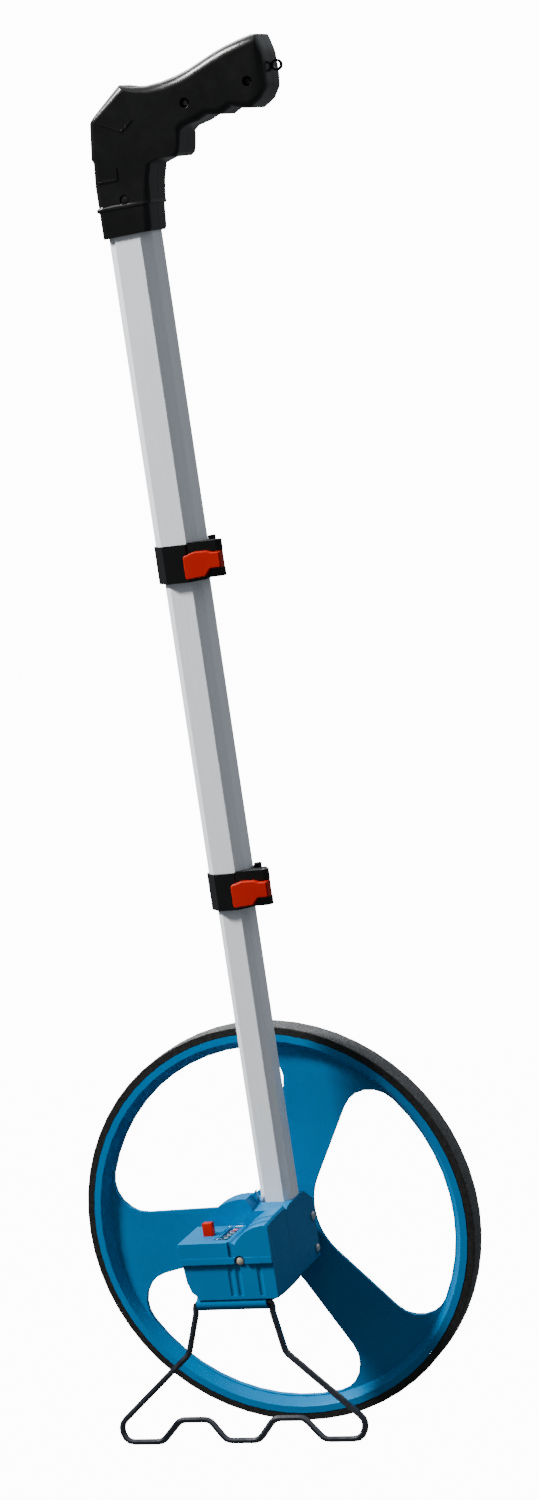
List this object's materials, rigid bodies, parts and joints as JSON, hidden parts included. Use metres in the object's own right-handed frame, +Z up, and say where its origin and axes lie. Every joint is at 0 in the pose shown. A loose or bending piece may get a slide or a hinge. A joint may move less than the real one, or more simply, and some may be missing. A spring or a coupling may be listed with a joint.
{
  "type": "measuring wheel",
  "caption": "Distance measuring wheel: spoked wheel on a geared counter housing, folding wire stand, telescopic tube with lever clamps and a pistol handle.",
  "frame": {"origin": "middle of the outline seen from above, on the floor that the tyre and the wire stand touch", "axes": "+Z up from the floor, +X to the user's side of the handle along the direction of rolling, +Y from the counter to the wheel; the tool leans 13.05 degrees back over its stand, about X"},
  "size_m": [0.3184, 0.3071, 1.0177],
  "materials": {
    "blue_plastic": "satin moulded",
    "tyre_rubber": "matt rubber",
    "plated_steel": "zinc plated",
    "gear_brass": "cut",
    "drum_plastic": "moulded",
    "black_plastic": "moulded",
    "red_plastic": "satin moulded",
    "anodised_tube": "anodised",
    "stand_wire": "glossy coat",
    "screw_head": "yellow passivated",
    "clear_lens": "clear"
  },
  "bodies": {
    "housing": {"gear_case": "blue_plastic", "axle_carrier": "black_plastic", "gear_plate": "black_plastic", "plate_screw_left": "plated_steel", "plate_screw_low": "plated_steel", "side_screw_upper": "plated_steel", "side_screw_lower": "plated_steel", "counter_case": "blue_plastic", "counter_lens": "clear_lens", "cover_screw": "screw_head", "reset_spring": "plated_steel", "front_bearing": "plated_steel", "rear_bearing": "plated_steel", "counter_frame": "plated_steel", "counter_shaft": "plated_steel", "lower_tube": "anodised_tube", "tube_screw": "plated_steel", "lower_bush": "black_plastic"},
    "wheel": {"spoked_wheel": "blue_plastic", "tyre": "tyre_rubber", "axle": "plated_steel", "hub_spacer": "plated_steel", "axle_nut": "plated_steel", "hub_cap": "blue_plastic", "drive_gear": "gear_brass"},
    "tenths_drum": {"counter_gear": "drum_plastic", "drum_tenths": "red_plastic"},
    "metres_drum": {"drum_metres": "drum_plastic"},
    "tens_drum": {"drum_tens": "drum_plastic"},
    "hundreds_drum": {"drum_hundreds": "drum_plastic"},
    "thousands_drum": {"drum_thousands": "drum_plastic"},
    "reset_key": {"reset_button": "red_plastic"},
    "stand": {"stand_wire": "stand_wire"},
    "middle_section": {"middle_tube": "anodised_tube", "middle_bush": "black_plastic", "lower_collar": "black_plastic", "lower_lever_pin": "plated_steel", "lower_clamp_bolt": "plated_steel"},
    "lower_lever": {"lower_clamp_lever": "red_plastic"},
    "upper_section": {"upper_tube": "anodised_tube", "upper_collar": "black_plastic", "upper_lever_pin": "plated_steel", "upper_clamp_bolt": "plated_steel", "handle_shell_near": "black_plastic", "handle_shell_far": "black_plastic", "handle_screw_grip": "plated_steel", "handle_screw_butt": "plated_steel", "handle_screw_sleeve": "plated_steel", "strap_eyelet": "black_plastic"},
    "upper_lever": {"upper_clamp_lever": "red_plastic"}
  },
  "joints": [
    {"name": "wheel_spin", "type": "hinge", "parent": "housing", "child": "wheel", "pos_m": [0, 0.09926, 0.15466], "axis": [0, 0.9742, 0.2258], "continuous": true},
    {"name": "tenths_turn", "type": "hinge", "parent": "housing", "child": "tenths_drum", "pos_m": [-0.00663, 0.03349, 0.14968], "axis": [0, 0.9742, 0.2258], "continuous": true},
    {"name": "metres_turn", "type": "hinge", "parent": "housing", "child": "metres_drum", "pos_m": [-0.00663, 0.03349, 0.14968], "axis": [0, 0.9742, 0.2258], "continuous": true},
    {"name": "tens_turn", "type": "hinge", "parent": "housing", "child": "tens_drum", "pos_m": [-0.00663, 0.03349, 0.14968], "axis": [0, 0.9742, 0.2258], "continuous": true},
    {"name": "hundreds_turn", "type": "hinge", "parent": "housing", "child": "hundreds_drum", "pos_m": [-0.00663, 0.03349, 0.14968], "axis": [0, 0.9742, 0.2258], "continuous": true},
    {"name": "thousands_turn", "type": "hinge", "parent": "housing", "child": "thousands_drum", "pos_m": [-0.00663, 0.03349, 0.14968], "axis": [0, 0.9742, 0.2258], "continuous": true},
    {"name": "reset_press", "type": "slide", "parent": "housing", "child": "reset_key", "axis": [0, 0.2258, -0.9742], "range_m": [0, 0.006], "stiffness_N_per_m": 400, "springref_m": -0.004, "deforming": ["reset_spring"]},
    {"name": "stand_fold", "type": "hinge", "parent": "housing", "child": "stand", "pos_m": [-0.0048, 0.01109, 0.10548], "axis": [-1, 0, 0], "range_deg": [0, 88]},
    {"name": "middle_slide", "type": "slide", "parent": "housing", "child": "middle_section", "axis": [0, -0.2258, 0.9742], "range_m": [-0.21, 0]},
    {"name": "lower_lever_turn", "type": "hinge", "parent": "middle_section", "child": "lower_lever", "pos_m": [0.0501, -0.00536, 0.39833], "axis": [0, -0.2258, 0.9742], "range_deg": [0, 120]},
    {"name": "upper_slide", "type": "slide", "parent": "middle_section", "child": "upper_section", "axis": [0, -0.2258, 0.9742], "range_m": [-0.185, 0]},
    {"name": "upper_lever_turn", "type": "hinge", "parent": "upper_section", "child": "upper_lever", "pos_m": [0.0524, -0.06359, 0.63941], "axis": [0, -0.2258, 0.9742], "range_deg": [0, 120]}
  ],
  "couplings": [
    {"joint": "tenths_turn", "follows": "wheel_spin", "ratio": -1},
    {"joint": "metres_turn", "follows": "wheel_spin", "ratio": -0.1},
    {"joint": "tens_turn", "follows": "wheel_spin", "ratio": -0.01},
    {"joint": "hundreds_turn", "follows": "wheel_spin", "ratio": -0.001},
    {"joint": "thousands_turn", "follows": "wheel_spin", "ratio": -0.0001}
  ]
}
